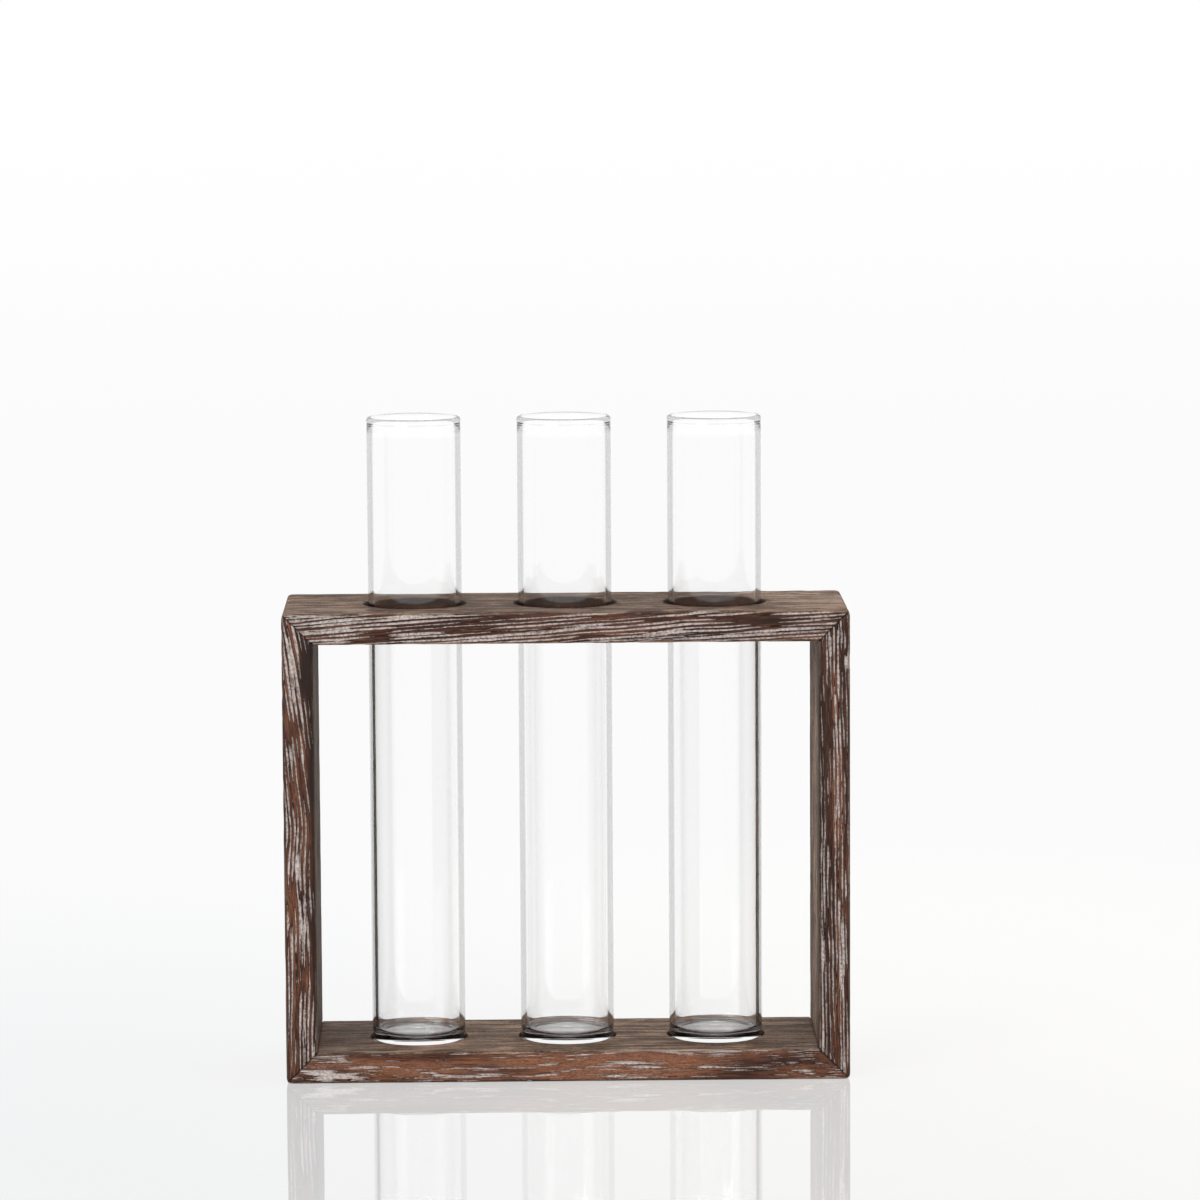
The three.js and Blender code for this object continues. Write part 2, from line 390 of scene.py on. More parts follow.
# %% [markdown]
# ## Brushing, scorching and liming
# The real boards are scorched, brushed along the grain, rubbed with chalk wash and sanded back. A bump in
# the material could fake the brushing, but it leaves the outline straight, so here the grooves are carved.
# The lime number is above zero where the chalk wash stays and below zero where bare wood shows. It is a
# blend of the year rings and long streaks. The brush has cut the same places deeper, so the grooves hold
# the wash and the hard ridges stand up brown between them. The wide faces were only wiped, so their grooves
# are shallow and a thin taupe stain hides most of the pattern. Sanding has rounded the arrises and the outer
# tips of the mitres.

# %% Where chalk wash, soot and painted shade stay
def lime_wash(points, tree, on_narrow, recipe):
    """Year rings, as 0.5 - 0.5 cos, blended with streaks, less the level that leaves the narrow faces as
    chalky as the recipe says, plus a slow unevenness and the spots."""
    seed, ringy = recipe["seed"], recipe["ringy"]
    rings = 0.5 - 0.5 * np.cos(2 * np.pi * tree[:, 1] / recipe["ring"])
    pattern = ringy * rings + (1 - ringy) * streaks(tree, recipe["streak"], seed + 10)
    level = np.quantile(pattern[on_narrow], 1 - recipe["chalk"])
    slow = cloud(points, (26, 14, 5), seed + 20) - 0.5
    return pattern - level + recipe["uneven"] * slow + patches(points, recipe["lime"])


def scorch_and_shade(points, tree, narrow, walls, from_end, recipe):
    """Soot and painted shade: soot clouds on the narrow faces, the spots (soot, and painted shade on some
    faces), a line beside each mitre, and the hole walls, darkened partly as scorch and partly as painted
    shade.
    """
    clouds = smooth(cloud(tree, (22, 2.6, 6), recipe["seed"] + 30), 0.74, 0.9) * 0.7 * narrow
    mitre_line = (0.1 + 0.45 * narrow) * bell(from_end, 0.35)
    # The hole walls are darkened partly as scorch and partly as painted shade inside the holes.
    return clouds + patches(points, recipe["char"]) + mitre_line + 0.6 * walls


def rim_distance(points, holes, rim_radius, far=99.0):
    """How far each point is from the nearest hole's rim, and far on a board with no hole."""
    from_axes = [np.hypot(points[:, 0] - x, points[:, 1]) for x in holes]
    return np.min(from_axes or [np.full(len(points), far)], axis=0) - rim_radius


print("from rim to mid board:", rim_distance(np.zeros((1, 3)), [tube_x[0]], sum(bore)).round(1), "mm")


# %% How deep the brush and the sanding go
groove_depth = (0.48, 0.10)     # in the narrow and in the wide faces
fibre_depth = (0.09, 0.05)      # the same for the fine lines between the grooves
tip_depth, tip_width = 0.42, 0.9
pit_depth, deepest = 0.9, 0.95


def carving(points, normals, walls, tree, lime, rim, from_end, seed):
    """Grooves where the wash stays, fine fibres, worn and chipped arrises, less near a hole's rim, and more
    at the ends, where the outer tip is sanded round along a bell curve."""
    narrow, wide = normals[:, 1] ** 2 * (1 - walls), normals[:, 2] ** 2 * (1 - walls)
    groove, fibre = smooth(lime, -0.05, 0.12), streaks(tree, (5, 0.5, 0.9), seed + 60)
    depth = (groove * (groove_depth[0] * narrow + groove_depth[1] * wide)
             + fibre * (fibre_depth[0] * narrow + fibre_depth[1] * wide))
    chips = smooth(cloud(points, (5, 3, 3), seed + 70), 0.62, 0.85)
    arris = 4 * narrow * wide
    depth = depth + arris * (0.07 + 0.14 * cloud(points, (13, 4, 4), seed + 80) + 0.3 * chips)
    at_end = bell(from_end, 0.3) * (1 - walls)
    depth = depth * smooth(rim, 0.0, 1.3) + (0.04 + 0.08 * narrow) * at_end
    return depth + tip_depth * np.maximum(normals[:, 2], 0) ** 2 * bell(from_end, tip_width)


print("deepest groove", groove_depth[0], "mm, sanded tip", tip_depth, "mm, brad pit", pit_depth, "mm")


# %% How one board is finished
def finish_board(points, normals, walls, length, recipe):
    """Values at each point of a board, and how deep it is carved in millimetres."""
    seed = recipe["seed"]
    tree = tree_place(points, recipe["pith"], recipe["drift"], recipe["wander"], seed)
    narrow = normals[:, 1] ** 2 * (1 - walls)
    from_end = length / 2 - mitre_gap + points[:, 2] - np.abs(points[:, 0])
    rim = rim_distance(points, recipe["holes"], sum(bore if recipe["through"] else recess))
    lime = lime_wash(points, tree, narrow > 0.99, recipe) - 0.3 * bell(rim, 1.0) - walls
    char = scorch_and_shade(points, tree, narrow, walls, from_end, recipe)
    warm = cloud(tree, (30, 3.5, 8), seed + 40) - 0.5 + patches(points, recipe["warm"])
    ragged = np.abs(normals[:, 2]) + 0.5 * (cloud(points, (5, 2, 2), seed + 50) - 0.5)
    tone = smooth(ragged, 0.45, 0.95) * (1 - walls)
    depth = carving(points, normals, walls, tree, lime, rim, from_end, seed)
    if recipe["pit"]:
        across, along, half_across, half_along = recipe["pit"]
        inside = ((np.abs(np.abs(points[:, 0]) - along) < half_along)
                  & (np.abs(np.abs(points[:, 1]) - across) < half_across) & (normals[:, 2] > 0.5))
        depth = np.where(inside, pit_depth, depth)
        char = np.where(inside, 0.9, char)
        lime = np.where(inside, -0.5, lime)
    finish = np.stack([lime, tone, np.clip(char, 0, 1)], axis=-1)
    return tree, finish, warm, np.clip(depth, 0, deepest)


def make_board(name, node, length, origin, along, across, recipe):
    """A board's skin, carved inwards, trimmed to its mitres and turned to its place."""
    points, normals, walls, faces = board_skin(length, recipe["holes"], recipe["through"], recipe["pit"])
    tree, finish, warm, depth = finish_board(points, normals, walls, length, recipe)
    cut = points - normals * depth[:, None]
    limit = length / 2 - mitre_gap + cut[:, 2]
    cut[:, 0] = np.clip(cut[:, 0], -limit, limit)
    turn = np.stack([along, across, np.cross(along, across)]).astype(float)
    piece = lay_mesh(name, cut @ turn + np.array(origin), faces, {"warm": warm},
                     {"grain": tree, "finish": finish})
    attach(piece, "frame")
    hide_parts(node)
    return piece


print("rails are", round(2 * half_width, 2), "mm and uprights", round(height, 2), "mm long")

# %% [markdown]
# ## Four boards
# Each board came from a different piece of the tree. One recipe for all four would be shorter, but they
# would look alike, so each has its own. A recipe says where the pith lies, how the trunk drifts, how far
# apart the rings are, how long, thick and broad the streaks are, how chalky the narrow faces are, and where
# the holes are. Its spots say where chalk, soot and painted shade, or warm colour gather: x, y and z of the
# middle, the half sizes along them, and an amount. The two boards that are turned over have their front at
# plus y.
#
# The top rail's lines climb to the right, and it has three holes right through. Its top face is darkened
# with painted shade, set against the stronger light that falls on it.

# %% The top rail
front, turned_front = -half_depth, half_depth
boards = []
top_recipe = dict(
    seed=11, pith=(-22.0, -64.0), drift=lambda x: 0.066 * x, wander=1.7, ring=1.16, ringy=0.40,
    streak=(21, 0.8, 9), chalk=0.40, uneven=0.24, holes=tube_x, through=True, pit=None,
    lime=[(-73, front, -4, 13, 3, 9, 0.24), (-60, front, -8, 6, 3, 2, -0.34),
          (66, front, -3.2, 11, 3, 1.5, -0.42), (45, front, -7, 14, 3, 3, 0.08),
          (74, front, -6, 12, 3, 2, 0.12), (-12, front, -3, 9, 3, 1.4, -0.22),
          (-50, front, -0.9, 5, 3, 0.6, 0.30), (-33, front, -7.8, 12, 3, 1.5, 0.15),
          (82, 0, 0, 16, 40, 3, 0.24), (28, front, -5, 14, 3, 5, -0.08),
          (-30, front, -5, 14, 3, 5, -0.05)],
    char=[(-60, front, -8, 7, 3, 1.8, 0.55), (66, front, -3.2, 11, 3, 1.4, 0.95),
          (56, front, -8, 18, 3, 1.2, 0.35), (87, front, -7, 3, 3, 3, 0.35),
          # The last spot is painted shade: it darkens the whole top face, where more light falls.
          (-16, 0, 0, 84, 60, 3, 0.42)],
    warm=[(-10, front, -3, 10, 3, 2, 0.55), (38, front, -1.6, 6, 3, 1.2, 0.6),
          (-50, front, -1.2, 6, 3, 1, 0.5), (20, front, -5, 8, 3, 2, 0.3)])
boards.append(make_board("top_board", "top_rail", 2 * half_width, (0, 0, height), (1, 0, 0), (0, 1, 0),
                         top_recipe))

# %% [markdown]
# The bottom rail was cut flat to the rings, so it is smoother and warmer, with chalk in its corners. Its
# holes are shallow recesses in which the tubes stand.

# %% The bottom rail
bottom_recipe = dict(
    seed=37, pith=(46.0, -12.0), drift=lambda x: 0.03 * x - 1.2 * np.sin(x / 23), wander=3.4, ring=1.5,
    ringy=0.22, streak=(10, 0.9, 0.62), chalk=0.12, uneven=0.22, holes=tube_x, through=False, pit=None,
    lime=[(-77, turned_front, -2.8, 9, 3, 2.0, 0.52), (-20, turned_front, -2.6, 24, 3, 1.6, 0.16),
          (18, turned_front, -6, 7, 3, 1.9, 0.18), (52, turned_front, -4.2, 6, 3, 1, 0.26),
          (60, turned_front, -7, 8, 3, 3, -0.2), (-45, turned_front, -7, 16, 3, 2, -0.2),
          (-60, turned_front - 2.4, -10, 18, 1.3, 2, 0.6), (84, turned_front, -2, 3, 3, 1, 0.25),
          (40, turned_front - 1.2, -10, 44, 1.1, 1.2, 0.5), (78, turned_front - 8, -10, 5, 9, 2, 0.34),
          (-77, turned_front - 8, -10, 6, 7, 2, 0.5)],
    char=[(59, turned_front, -4, 7, 3, 4, 0.5), (72, turned_front, -6.5, 10, 3, 1.6, 0.55),
          (-78, turned_front, -9, 8, 3, 1, 0.2), (6, turned_front, -9, 20, 3, 0.8, 0.2),
          (-70, 0, -10, 16, 60, 2, 0.3), (74, 0, -10, 14, 60, 2, 0.25)],
    warm=[(8, turned_front, -6, 26, 3, 5, 1.0), (-60, turned_front, -6, 26, 3, 4, 0.4),
          (0, turned_front, -5, 200, 3, 12, 0.2),
          (28, turned_front, -3, 16, 3, 2.4, 0.6), (-12, turned_front, -1.5, 14, 3, 1.4, 0.4)])
boards.append(make_board("bottom_board", "bottom_rail", 2 * half_width, (0, 0, 0), (1, 0, 0), (0, -1, 0),
                         bottom_recipe))

# %% [markdown]
# The uprights have a small pit over each brad, 10 mm in from the edges and level with the middle of the
# rails. The left upright's lines bend over near its top, where its drift turns softly into a slope, and its
# inner face is darkened all over with painted shade.

# %% The left upright
brad_inset, pit_half = 10, (1.11, 0.585)
pit = (half_depth - brad_inset, height / 2 - thickness / 2, *pit_half)
left_recipe = dict(
    seed=53, pith=(-24.0, 58.0),
    drift=lambda x: -0.19 * 9 * np.logaddexp(0, (x - 26) / 9) + 0.5 * np.sin(x / 9),
    wander=2.4, ring=1.35, ringy=0.40, streak=(12, 0.7, 8), chalk=0.30, uneven=0.36, holes=[],
    through=False, pit=pit,
    lime=[(58, front, -3, 14, 3, 3, 0.13), (58, front, -8.4, 6, 3, 2, -0.5),
          (39, front, -3.5, 3.5, 3, 2.6, -0.5), (30, front, -3, 6, 3, 1.6, 0.12),
          (26, front, -8.2, 10, 3, 1.4, -0.3), (3, front, -5, 12, 3, 4, 0.14),
          (-6, front, -4, 4, 3, 2, 0.2), (-24, front, -6, 9, 3, 1.6, 0.16),
          (-52, front, -5, 6, 3, 3, 0.14), (-66, front, -4, 6, 3, 3, 0.1)],
    char=[(58, front, -8.4, 8, 3, 2.2, 0.9), (60, front, -7, 14, 3, 2.6, 0.5),
          (0, front, 0, 200, 2.5, 0.9, 0.75),
          (39, front, -3.5, 3.5, 3, 2.4, 0.5), (26, front, -8.6, 12, 3, 1.4, 0.6),
          # The last spot is painted shade: it darkens the whole inner face, on the side away from the lamps.
          (-8, front, -9.2, 40, 3, 0.8, 0.4), (0, 0, -10, 200, 60, 1.5, 0.75)],
    warm=[(2, front, -6, 20, 3, 3, 0.4), (36, front, -4.5, 5, 3, 3, 0.2),
          (-30, front, -3, 18, 3, 3, 0.2)])
boards.append(make_board("left_board", "left_stile", height, (-half_width, 0, height / 2), (0, 0, 1),
                         (0, 1, 0), left_recipe))

# %% [markdown]
# The right upright's lines are fine and almost straight, and soot has stayed along its outer arris. Its
# inner face has painted shade in dark bands along both long edges.

# %% The right upright
right_recipe = dict(
    seed=71, pith=(22.0, -70.0), drift=lambda x: -0.018 * x + 0.3 * np.sin(x / 30), wander=1.0,
    ring=1.15, ringy=0.38, streak=(8, 0.4, 8), chalk=0.27, uneven=0.14, holes=[], through=False, pit=pit,
    lime=[(35, turned_front, -4.1, 40, 3, 0.8, 0.13), (-42, turned_front, -2.4, 45, 3, 0.8, 0.16),
          (-20, turned_front, -8.8, 60, 3, 0.6, 0.16), (66, turned_front, -4, 14, 3, 9, 0.07),
          (59, turned_front, -0.4, 1.8, 3, 1.4, 0.9), (30, turned_front, -8, 30, 3, 1.2, -0.2),
          (0, turned_front, 0, 200, 2.5, 0.7, -0.2),
          (-70, turned_front, -8, 8, 3, 2, 0.12), (0, turned_front, -1.8, 200, 3, 0.6, -0.08),
          (0, 4, -10, 200, 8, 2, 0.26)],
    char=[(30, turned_front, -8.2, 36, 3, 1.5, 0.6), (-10, turned_front, -5.9, 60, 3, 0.5, 0.3),
          (0, turned_front, 0, 200, 2.5, 0.8, 0.6),
          # The last two spots are painted shade: dark bands along both long edges of the inner face.
          (-58, turned_front, -7, 14, 3, 2, 0.35), (0, -27, -10, 200, 8, 1.5, 1.2),
          (0, 23, -10, 200, 7, 1.5, 1.0)],
    warm=[(6, turned_front, -3.4, 30, 3, 2.0, 0.5), (0, turned_front, -5, 200, 3, 12, -0.12)])
boards.append(make_board("right_board", "right_stile", height, (half_width, 0, height / 2), (0, 0, 1),
                         (0, -1, 0), right_recipe))

# %% [markdown]
# ## Writing materials
# A shader is arithmetic on values that change over a surface. `Wire` wraps a node's output so that it can
# be added and multiplied like a number; each operation adds a Math node. `Bench` is one node tree with one
# method that adds any other node.

# %% Wires and benches
class Wire:
    """A node's output that can be used in arithmetic."""

    def __init__(self, bench, socket):
        self.bench, self.socket = bench, socket

    def _math(self, operation, first, second):
        return self.bench.node("ShaderNodeMath", {"operation": operation}, {0: first, 1: second})

    def __add__(self, other): return self._math("ADD", self, other)
    def __radd__(self, other): return self._math("ADD", other, self)
    def __sub__(self, other): return self._math("SUBTRACT", self, other)
    def __rsub__(self, other): return self._math("SUBTRACT", other, self)
    def __mul__(self, other): return self._math("MULTIPLY", self, other)
    def __rmul__(self, other): return self._math("MULTIPLY", other, self)


class Bench:
    """A node tree on which nodes are laid out and wired."""

    def __init__(self, tree):
        self.tree = tree
        tree.nodes.clear()

    def node(self, kind, settings=None, sockets=None, out=0):
        """Adds a node, makes its settings, fills its sockets by name or number, and returns an output."""
        node = self.tree.nodes.new(kind)
        for name, value in (settings or {}).items():
            setattr(node, name, value)
        for name, value in (sockets or {}).items():
            live = [s for s in node.inputs if s.enabled]
            socket = live[name] if isinstance(name, int) else next(s for s in live if s.name == name)
            if isinstance(value, Wire):
                self.tree.links.new(value.socket, socket)
            else:
                socket.default_value = value
        live = [s for s in node.outputs if s.enabled] or [None]
        return Wire(self, live[out] if isinstance(out, int) else next(s for s in live if s.name == out))

    def mix(self, share, first, second):
        """A colour that goes from first to second as share goes from 0 to 1."""
        return self.node("ShaderNodeMix", {"data_type": "RGBA"}, {"Factor": share, "A": first, "B": second})

    def step(self, value, low, high):
        """0 below low, 1 above high, and 3t^2 - 2t^3 between them. It falls when low is the larger."""
        return self.node("ShaderNodeMapRange", {"interpolation_type": "SMOOTHSTEP"},
                         {"Value": value, "From Min": low, "From Max": high})

    def stretch(self, vector, factors):
        """A vector with each of its numbers multiplied."""
        return self.node("ShaderNodeVectorMath", {"operation": "MULTIPLY"}, {0: vector, 1: factors})

    def noise(self, vector, scale=1.0, detail=2.0, roughness=0.5):
        """Soft random values round one half."""
        return self.node("ShaderNodeTexNoise", {}, {"Vector": vector, "Scale": scale, "Detail": detail,
                                                    "Roughness": roughness})


print("a bench can", [name for name in vars(Bench) if not name.startswith("_")])

# %% Colours and new materials
def paint(red, green, blue):
    """A colour given as on a screen, 0 to 255, in the linear numbers that shaders use."""
    c = np.array([red, green, blue]) / 255
    linear = np.where(c <= 0.04045, c / 12.92, ((c + 0.055) / 1.055) ** 2.4)
    return (*linear.tolist(), 1.0)


def new_material(name):
    """An empty material and its bench."""
    material = bpy.data.materials.new(name)
    material.use_nodes = True
    return material, Bench(material.node_tree)


print("middle grey on a screen is", round(paint(128, 128, 128)[0], 3), "to a shader")

# %% [markdown]
# ## Limed, scorched wood
# The finish is white wash in the grooves, brown and sooty ridges, and taupe stain on the wiped faces. A
# picture of such wood could be wrapped round the boards, but its white would miss the carved grooves. So the
# material reads the same lime number as the carving. Finer fibres than the mesh can hold are added here:
# they fray the edge of the wash and vary the brown. A dark line runs beside each white streak: partly soot
# wiped against the ridge, and partly painted shade for the shadow of the groove's lip. The scorch number
# is soot, and painted shade on some faces and in the holes. The wide faces fade to taupe.

# %% What the wood reads, and its noises
wood, bench = new_material("limed_scorched_wood")
grain = bench.node("ShaderNodeAttribute", {"attribute_name": "grain"}, out="Vector")
finish = bench.node("ShaderNodeAttribute", {"attribute_name": "finish"}, out="Vector")
warm = bench.node("ShaderNodeAttribute", {"attribute_name": "warm"}, out=2)
lime, tone, char = [bench.node("ShaderNodeSeparateXYZ", {}, {0: finish}, out=i) for i in range(3)]

fibres = bench.noise(bench.stretch(grain, (0.12, 5.0, 4.6)), detail=2.0, roughness=0.6)
hairs = bench.noise(bench.stretch(grain, (0.06, 1.5, 1.4)), detail=3.0, roughness=0.65)
flecks = bench.noise(bench.stretch(grain, (0.22, 1.9, 1.8)), detail=2.0, roughness=0.6)
crumbs = bench.noise(bench.stretch(grain, (1.1, 1.2, 1.2)), detail=3.0, roughness=0.65)
bands = bench.noise(bench.stretch(grain, (0.014, 0.6, 0.5)), detail=5.0, roughness=0.62)
cloudy = bench.noise(bench.stretch(grain, (0.04, 0.4, 0.3)), detail=2.0)
mottle = bench.noise(bench.stretch(grain, (0.08, 0.15, 0.13)), detail=3.0, roughness=0.6)
lines = bench.step((hairs - 0.5) * (hairs - 0.5), 0.0016, 0.0001)
cracks = bench.step(flecks, 0.40, 0.32)
print("wood nodes so far:", len(wood.node_tree.nodes))

# %% Wash, soot with painted groove shade, and wear
edge = lime + (hairs - 0.5) * 0.85 + (fibres - 0.5) * 0.20 + (crumbs - 0.5) * 0.15
chalk = 0.65 * bench.step(edge, -0.02, 0.03) + 0.35 * bench.step(edge, 0.04, 0.20)
# Soot and painted shade: a dark band just outside the wash's edge stands in for the shadow of the groove's
# lip.
soot_and_groove_shade = bench.step(edge, -0.20, -0.05) * (1 - bench.step(edge, -0.02, 0.02))
worn = bench.step(warm, 0.25, 0.80)
rough = 1 - worn * 0.45
print("wood nodes so far:", len(wood.node_tree.nodes))

# %% The brown ridges and the white grooves
dark_brown, mid_brown, fleck_brown = paint(70, 42, 33), paint(130, 83, 61), paint(160, 116, 91)
worn_brown, hair_brown, crack_black = paint(176, 124, 95), paint(50, 29, 22), paint(42, 25, 20)
soot_and_shade_black, char_black = paint(44, 26, 21), paint(42, 29, 24)
thin_chalk, full_chalk, cracked_chalk = paint(168, 151, 144), paint(219, 209, 204), paint(104, 84, 75)
brown = bench.mix(bench.step(cloudy + warm * 0.5, 0.34, 0.72), dark_brown, mid_brown)
brown = bench.mix(bench.step(flecks, 0.52, 0.68) * 0.5, brown, fleck_brown)
brown = bench.mix(worn * bench.step(crumbs, 0.36, 0.60) * 0.7, brown, worn_brown)
brown = bench.mix(bench.step(hairs, 0.50, 0.36) * rough * 0.75, brown, hair_brown)
brown = bench.mix(lines * rough * 0.5, brown, crack_black)
brown = bench.mix(cracks * rough * 0.6, brown, crack_black)
# Soot and painted groove shade darken the brown beside the wash.
brown = bench.mix(soot_and_groove_shade * rough * 0.85, brown, soot_and_shade_black)
# Towards black by the scorch and shade number: soot, and painted shade on some faces and in the holes.
brown = bench.mix(char, brown, char_black)
white = bench.mix(bench.step(crumbs, 0.38, 0.56), thin_chalk, full_chalk)
white = bench.mix(cracks * 0.4, white, cracked_chalk)
bold = bench.mix(chalk * (1 - char * 0.45), brown, white)
print("wood nodes so far:", len(wood.node_tree.nodes))

# %% The wiped faces
stain_dark, stain_pale, film_chalk = paint(40, 25, 18), paint(175, 144, 121), paint(196, 176, 163)
stain_crack, stain_char = paint(48, 32, 25), paint(46, 35, 28)
wiped = 0.45 * bench.step(bands, 0.43, 0.58) + 0.27 * bench.step(hairs, 0.44, 0.58)
wiped = wiped + 0.28 * bench.step(crumbs, 0.36, 0.64)
# The scorch and shade number darkens the wiped faces: soot, and the painted shade of the inner faces and the
# top face.
wiped = wiped * (0.62 + 0.76 * bench.step(mottle, 0.38, 0.62)) * (1 - char * 0.75)
taupe = bench.mix(wiped, stain_dark, stain_pale)
film = bench.step(edge, 0.04, 0.24) * (1 - char * 0.6) * (0.22 + 0.52 * bench.step(hairs, 0.36, 0.62))
taupe = bench.mix(film, taupe, film_chalk)
taupe = bench.mix(cracks * 0.55, taupe, stain_crack)
taupe = bench.mix(char * 0.45, taupe, stain_char)
colour = bench.mix(tone, bold, taupe)
print("wood nodes so far:", len(wood.node_tree.nodes))

# %% The wood's surface
hills = fibres * 0.5 + hairs * 0.8 - cracks * 0.4 - lines * 0.2
bump = bench.node("ShaderNodeBump", {}, {"Strength": 0.5, "Distance": 0.00022, "Height": hills})
surface = bench.node("ShaderNodeBsdfPrincipled", {}, {
    "Base Color": colour, "Roughness": 0.70 + 0.16 * chalk - 0.08 * char, "Normal": bump,
    "Specular IOR Level": 0.18})
bench.node("ShaderNodeOutputMaterial", {}, {"Surface": surface})
for board in boards:
    board.data.materials.append(wood)
print("wood nodes:", len(wood.node_tree.nodes))

# %% [markdown]
# ## Brad heads
# Two brads pin each corner. New ones could be made here, but only their sunk heads show, in the sides of the
# uprights, so they stay as the CAD made them. The wire is bright steel with grey stains, and fine lines
# across the head from the gun's driver.

# %% The steel material
bright_steel, grey_stain = paint(168, 168, 170), paint(104, 98, 92)
steel, bench = new_material("brad_wire_steel")
where = bench.stretch(bench.node("ShaderNodeTexCoord", out="Object"), (1000, 1000, 1000))
stains = bench.noise(where, scale=1.1, detail=3.0)
lines = bench.noise(bench.stretch(where, (0.5, 9.0, 0.5)), detail=1.0)
bump = bench.node("ShaderNodeBump", {}, {"Strength": 0.4, "Distance": 0.00003, "Height": lines})
surface = bench.node("ShaderNodeBsdfPrincipled", {}, {
    "Base Color": bench.mix(bench.step(stains, 0.4, 0.7), bright_steel, grey_stain),
    "Metallic": 1.0, "Roughness": 0.32 + 0.3 * stains, "Normal": bump})
bench.node("ShaderNodeOutputMaterial", {}, {"Surface": surface})
brads = [node for name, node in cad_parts.items() if name.startswith("brad_")]
for brad in brads:
    brad.data.materials.clear()
    brad.data.materials.append(steel)
print("brads:", len(brads))

# %% [markdown]
# ## Glass tubes
# The tubes are drawn glass with a pressed foot and a lip that a flame has rounded. Solidify could thicken a
# single wall, but the foot and the lip have shapes of their own. So a tube is a profile turned about its
# axis: from the middle of the hollowed underside, over the foot, up the wall, over the lip, and down the
# inside to a thick, flat floor. It has a real inner and outer wall, because glass is seen mostly by what its
# two faces do at the edges.

# %% The tube's profile
tube_low, tube_high = span(tube_names[0])
tube_radius, tube_wall = 15.0, 1.8


def arc(centre_r, centre_z, radius, start, end, steps):
    """Points of a circle: centre plus radius times cosine and sine of the angle."""
    angle = np.linspace(start, end, steps + 1)
    return np.stack([centre_r + radius * np.cos(angle), centre_z + radius * np.sin(angle)], axis=-1)


def tube_profile(base=3.5, foot=1.5, fillet=2.0, ring=1.4, punt=0.2, bulge=0.1,
                 disc_steps=16, bend_steps=14, wall_points=38, lip_steps=26):
    """Radius and height along the profile, from the axis under the tube to the axis on its floor.

    The underside rises as punt (1 - share^2), inside a ring that stands flat. Foot and fillet are quarter
    circles. The lip is a circle that swells past both faces of the wall and meets them at its sides.
    """
    radius, wall = tube_radius, tube_wall
    tall = tube_high[2] - tube_low[2]
    inside, ring_outer = radius - wall, radius - foot
    share = np.linspace(0, 1, disc_steps + 1)
    under = np.stack([(ring_outer - ring) * share, punt * (1 - share ** 2)], axis=-1)
    lip = wall / 2 + bulge * 0.75
    lip_r, lip_z = radius + bulge - lip, tall - lip
    start = -math.acos((radius - lip_r) / lip)
    end = 2 * math.pi - math.acos((inside - lip_r) / lip)
    lip_arc = arc(lip_r, lip_z, lip, start, end, lip_steps)
    inner_foot, lip_bottom = base + fillet, lip_arc[-1, 1]
    rise = np.linspace(0, 1, wall_points + 2)[1:-1]
    outer_z = foot + (lip_z + lip * math.sin(start) - foot) * rise
    inner_z = lip_bottom + (inner_foot - lip_bottom) * rise
    foot_arc = arc(ring_outer, foot, foot, -math.pi / 2, 0, bend_steps)
    fillet_arc = arc(inside - fillet, inner_foot, fillet, 0, -math.pi / 2, bend_steps)
    floor_r = (inside - fillet) * (1 - share[1:])
    return np.concatenate([
        under, foot_arc, np.stack([np.full(wall_points, radius), outer_z], axis=-1), lip_arc,
        np.stack([np.full(wall_points, inside), inner_z], axis=-1), fillet_arc,
        np.stack([floor_r, np.full(disc_steps, base)], axis=-1)])


profile = tube_profile()
print("profile:", len(profile), "points, greatest radius and height", profile.max(axis=0).round(2))


# %% Turning the profile
def turned(profile, centre, sides=192):
    """A profile carried round its axis: x = r cos t, y = r sin t, with the poles and the seam closed."""
    angle = 2 * np.pi * np.arange(sides + 1) / sides
    r, z = profile.T
    x, y = r[:, None] * np.cos(angle), r[:, None] * np.sin(angle)
    x[:, -1], y[:, -1] = x[:, 0], y[:, 0]
    points = np.stack([x, y, np.broadcast_to(z[:, None], x.shape)], axis=-1).reshape(-1, 3)
    kept, faces = weld(points, grid_faces(len(r), sides + 1))
    points = points[kept]
    if volume(points, faces) < 0:
        faces = faces[:, ::-1]
    return points + np.array(centre), faces


tubes = []
for number, (name, x) in enumerate(zip(tube_names, tube_x), start=1):
    points, faces = turned(profile, (x, 0, tube_low[2]))
    outside = smooth(np.hypot(points[:, 0] - x, points[:, 1]), tube_radius - 1.4, tube_radius - 0.6)
    lip = smooth(points[:, 2], tube_high[2] - 1.4, tube_high[2] - 0.6)
    tube = lay_mesh(f"clear_tube_{number}", points, faces, {"outside": outside, "lip": lip})
    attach(tube, f"tube_{number}")
    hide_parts(name)
    tubes.append(tube)

# %% [markdown]
# ## Clear glass
# The glass is colourless, with a few soft waves. Towards its edges and on the lip the tint turns grey: partly
# for light that meets it at a grazing angle and runs a long way inside it, and partly as painted shade that
# stands in for the darker surroundings seen in glass edges. Volume absorption could do the first, but it is
# slow and noisy. Layer Weight gives the angle from any side, and darkens the tint towards the edge. Shadow
# rays pass straight through, so the lamps light what stands behind the glass.

# %% The glass material
no_tint, edge_grey, shadow_tint = paint(255, 255, 255), paint(178, 180, 179), paint(240, 241, 241)
glass, bench = new_material("clear_tube_glass")
facing = bench.node("ShaderNodeLayerWeight", {}, {"Blend": 0.5}, out="Facing")
where = bench.stretch(bench.node("ShaderNodeTexCoord", out="Object"), (1000, 1000, 1000))
waves = bench.noise(bench.stretch(where, (0.3, 0.3, 0.05)), detail=2.0)
outside = bench.node("ShaderNodeAttribute", {"attribute_name": "outside"}, out=2)
lip = bench.node("ShaderNodeAttribute", {"attribute_name": "lip"}, out=2)
